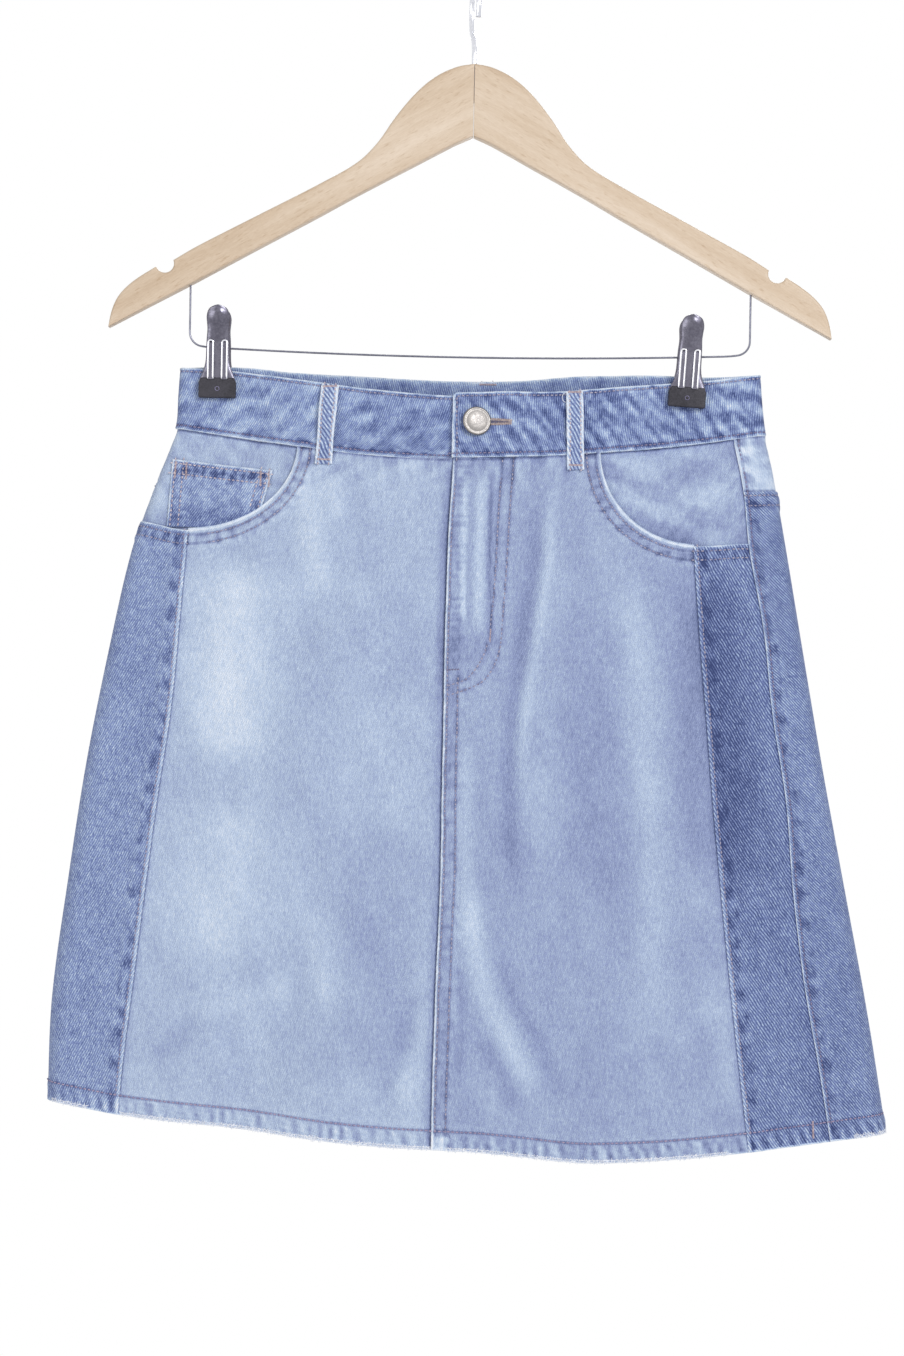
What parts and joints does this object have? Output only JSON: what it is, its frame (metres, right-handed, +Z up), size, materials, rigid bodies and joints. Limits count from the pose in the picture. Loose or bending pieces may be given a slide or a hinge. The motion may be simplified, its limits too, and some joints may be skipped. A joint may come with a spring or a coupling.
{
  "type": "denim skirt on a clip hanger",
  "caption": "Short A-line two-tone denim skirt with fly, button waistband and scoop pockets, held by clips on the wire bar of a wooden hanger.",
  "frame": {"origin": "inside top of the hanger's hook, where a rail holds it", "axes": "+Z up, +X to the viewer's right facing the front, -Y out of the skirt's front"},
  "size_m": [0.5121, 0.0728, 0.7222],
  "materials": {
    "dark_denim": "mid-blue washed twill with worn, paler seams",
    "light_denim": "pale blue washed twill with soft fades",
    "button_metal": "satin silver, plain face",
    "zip_metal": "dull nickel chain on blue tape",
    "beech": "pale, thinly lacquered",
    "steel_wire": "bright plated wire",
    "black_enamel": "glossy black on pressed sheet",
    "black_rubber": "matt grip pad"
  },
  "bodies": {
    "root": {"waistband": "dark_denim", "coin_pocket": "dark_denim", "side_front_left": "dark_denim", "side_front_right": "dark_denim", "side_back_left": "dark_denim", "side_back_right": "dark_denim", "belt_loop_front_left": "dark_denim", "belt_loop_front_right": "dark_denim", "belt_loop_back": "dark_denim", "front_panel_left": "light_denim", "front_panel_right": "light_denim", "pocket_facing_left": "light_denim", "pocket_facing_right": "light_denim", "back_panel_left": "light_denim", "back_panel_right": "light_denim", "back_yoke_left": "light_denim", "back_yoke_right": "light_denim", "button": "button_metal", "zip": "zip_metal", "zip_slider": "zip_metal", "hanger_arm_left": "beech", "hanger_arm_right": "beech", "hanger_hook": "steel_wire", "hanger_bar": "steel_wire", "clip_left_spring": "steel_wire", "clip_right_spring": "steel_wire", "clip_left_front_plate": "black_enamel", "clip_left_back_plate": "black_enamel", "clip_right_front_plate": "black_enamel", "clip_right_back_plate": "black_enamel", "clip_left_front_pad": "black_rubber", "clip_left_back_pad": "black_rubber", "clip_right_front_pad": "black_rubber", "clip_right_back_pad": "black_rubber"}
  },
  "joints": []
}
